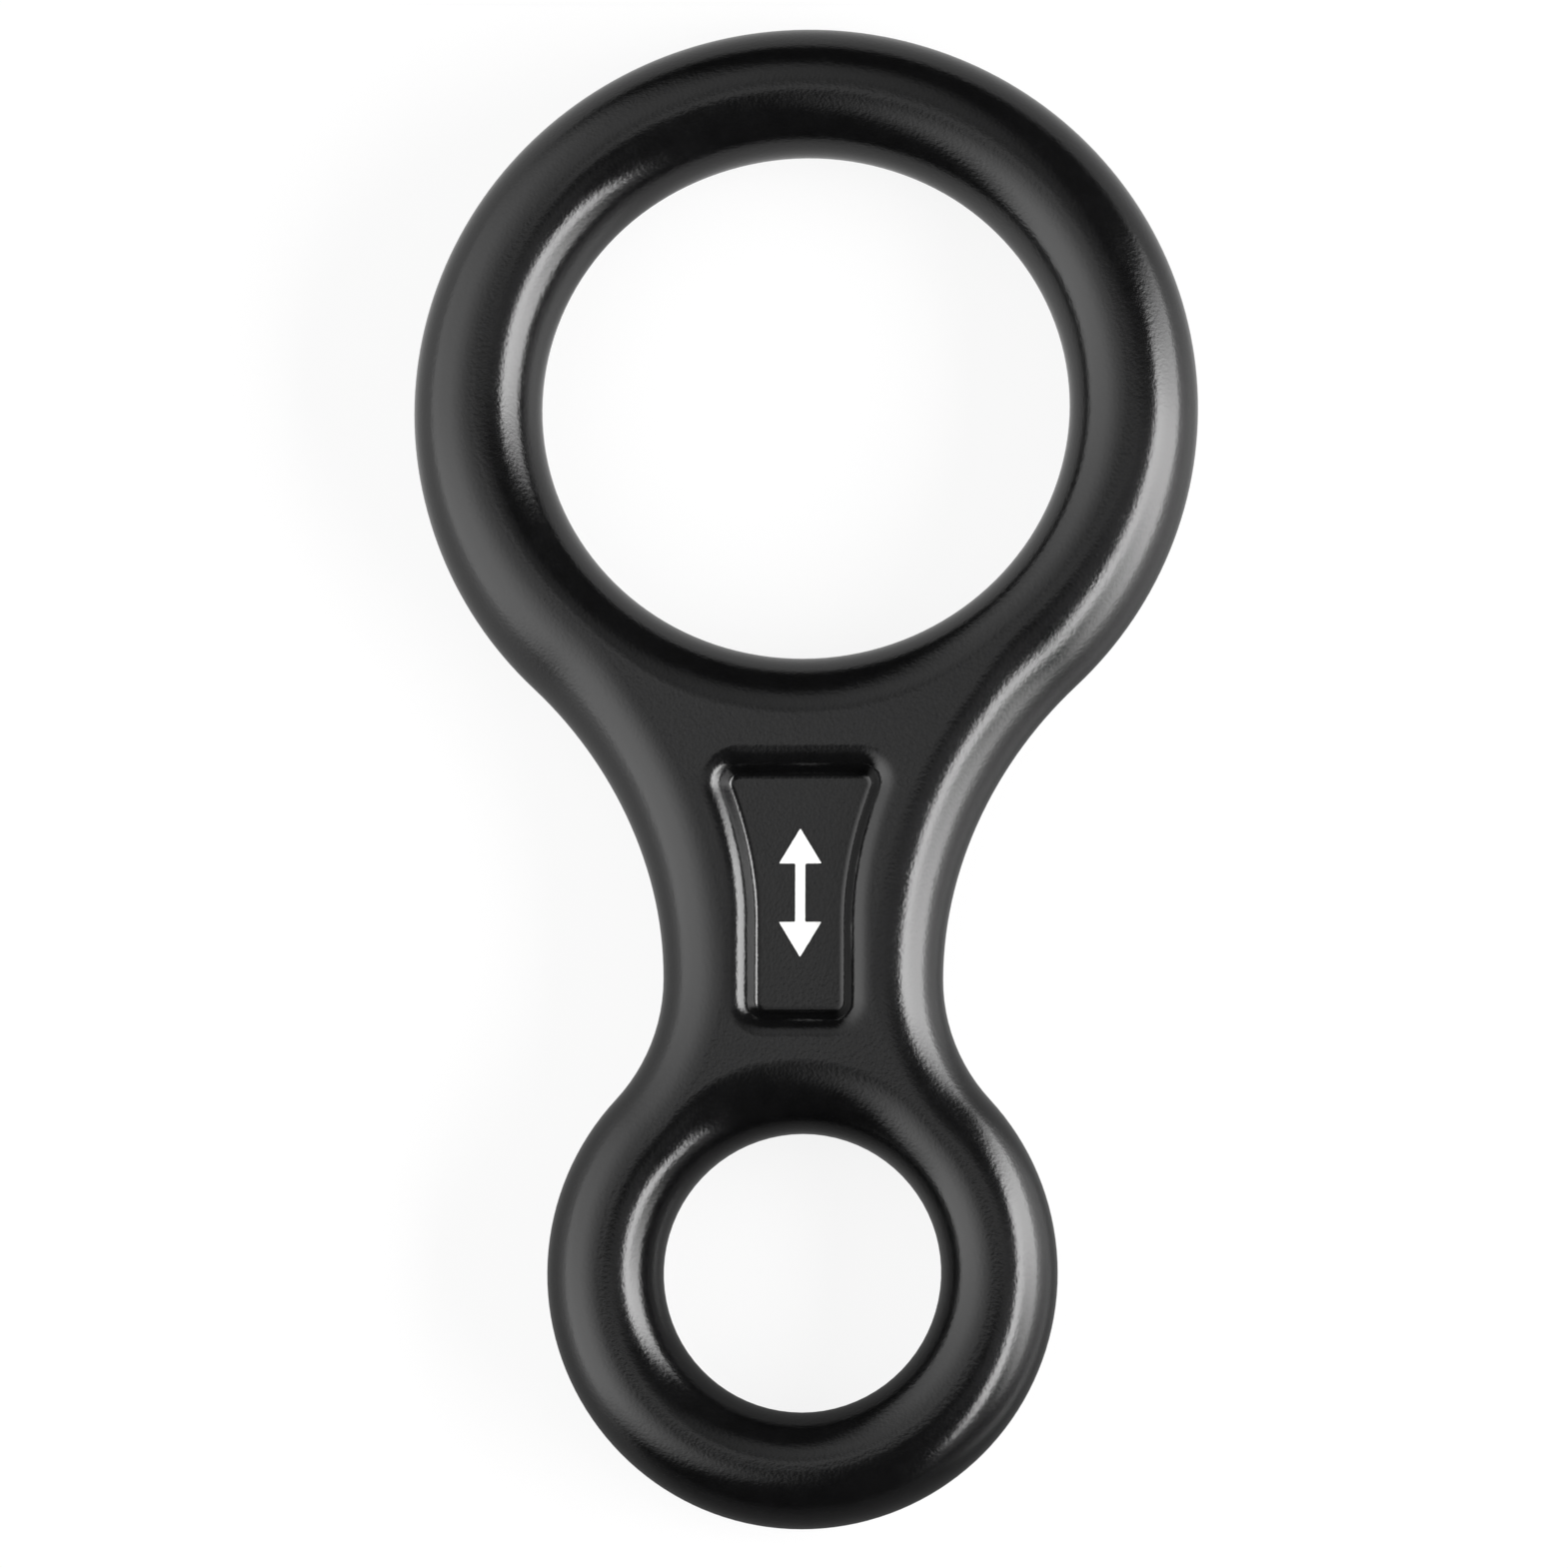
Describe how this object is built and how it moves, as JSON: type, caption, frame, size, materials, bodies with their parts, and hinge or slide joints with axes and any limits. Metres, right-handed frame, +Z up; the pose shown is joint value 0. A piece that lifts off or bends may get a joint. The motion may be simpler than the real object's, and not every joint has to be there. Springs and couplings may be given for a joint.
{
  "type": "figure eight descender",
  "caption": "One-piece forged aluminium figure eight descender: large rope eye, small link eye and a flat waisted neck with a shallow pocket in each face.",
  "frame": {"origin": "middle of the body's footprint, on the surface that it lies on", "axes": "+Y along the neck from the link eye to the rope eye, +Z up out of the front face, +X to the right with the rope eye away from the viewer"},
  "size_m": [0.0628, 0.12, 0.011],
  "materials": {
    "black_anodised": "satin",
    "white_print": "matte"
  },
  "bodies": {
    "root": {"forged_body": "black_anodised"}
  },
  "joints": []
}
